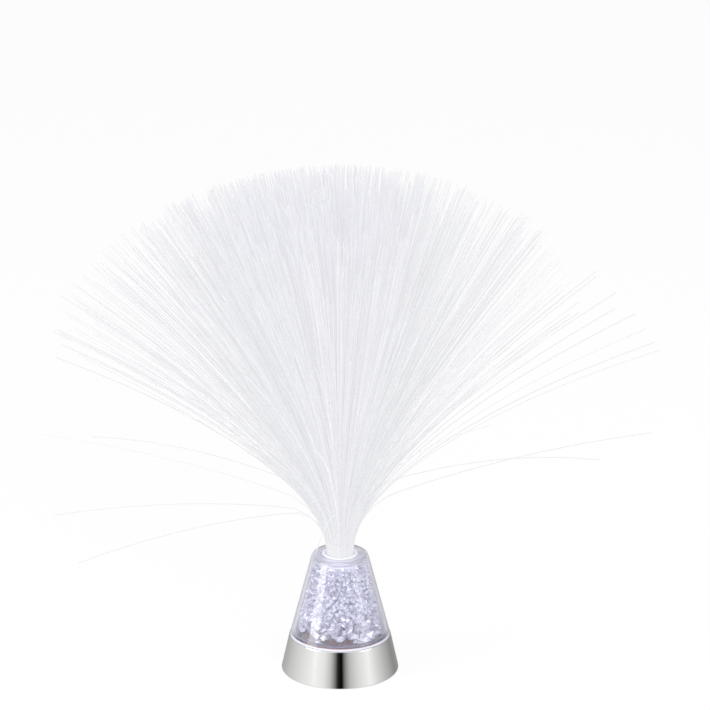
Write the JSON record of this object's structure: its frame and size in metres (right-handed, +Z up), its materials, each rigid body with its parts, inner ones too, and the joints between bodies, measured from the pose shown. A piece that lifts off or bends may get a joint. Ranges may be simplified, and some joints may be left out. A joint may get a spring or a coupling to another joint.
{
  "type": "fibre optic lamp",
  "caption": "Battery fibre optic lamp: polished conical base, clear cone dome filled with crushed crystals, and a wide spray of clear fibres.",
  "frame": {"origin": "on the surface the lamp stands on, at the middle of its footprint", "axes": "+Z up along the lamp's axis, cells along X, switch on the -Y side, battery door hinged at the -X end of the bay"},
  "size_m": [0.3988, 0.3978, 0.3283],
  "materials": {
    "chrome_plating": "polished plating on ABS",
    "black_abs": "fine matte",
    "cell_sleeve": "printed-film sleeve, plain",
    "contact_steel": "nickel-plated",
    "screw_steel": "zinc-plated",
    "rubber": "matte",
    "switch_can": "tin-plated",
    "slider_black": "satin",
    "phenolic_board": "brown paper phenolic",
    "led_epoxy": "clear epoxy",
    "chip_black": "matte",
    "red_insulation": "satin",
    "black_insulation": "satin",
    "clear_acrylic": "polished clear",
    "clear_crystal": "crushed clear acrylic",
    "white_collar": "milky white",
    "clear_sleeve": "clear sleeve",
    "fibre": "clear fibre that reads white in the bundle"
  },
  "bodies": {
    "base": {"chrome_skirt": "chrome_plating", "base_plate": "black_abs", "battery_cell_1": "cell_sleeve", "battery_cell_2": "cell_sleeve", "battery_cell_3": "cell_sleeve", "link_contacts": "contact_steel", "terminal_contacts": "contact_steel", "contact_springs": "contact_steel", "base_screws": "screw_steel", "rubber_feet": "rubber", "switch_housing": "switch_can", "circuit_board": "phenolic_board", "board_screws": "screw_steel", "centre_led": "led_epoxy", "rim_led_1": "led_epoxy", "rim_led_2": "led_epoxy", "rim_led_3": "led_epoxy", "resistors": "chip_black", "lead_positive": "red_insulation", "lead_switched": "red_insulation", "lead_negative": "black_insulation", "floor_disc": "clear_acrylic", "dome_shell": "clear_acrylic", "neck_collar": "white_collar", "crystals_lower": "clear_crystal", "crystals_middle": "clear_crystal", "crystals_upper": "clear_crystal"},
    "door": {"battery_door": "black_abs"},
    "slider": {"switch_slider": "slider_black"},
    "spray": {"fibre_ferrule": "clear_sleeve", "fibre_strands_inner": "fibre", "fibre_strands_outer": "fibre", "stray_strands": "fibre"}
  },
  "joints": [
    {"name": "door_hinge", "type": "hinge", "parent": "base", "child": "door", "pos_m": [-0.0225, 0, 0.0019], "axis": [0, 1, 0], "range_deg": [0, 95]},
    {"name": "switch_slide", "type": "slide", "parent": "base", "child": "slider", "axis": [1, 0, 0], "range_m": [0, 0.002]},
    {"name": "spray_lift", "type": "slide", "parent": "base", "child": "spray", "axis": [0, 0, 1], "range_m": [0, 0.014]}
  ]
}
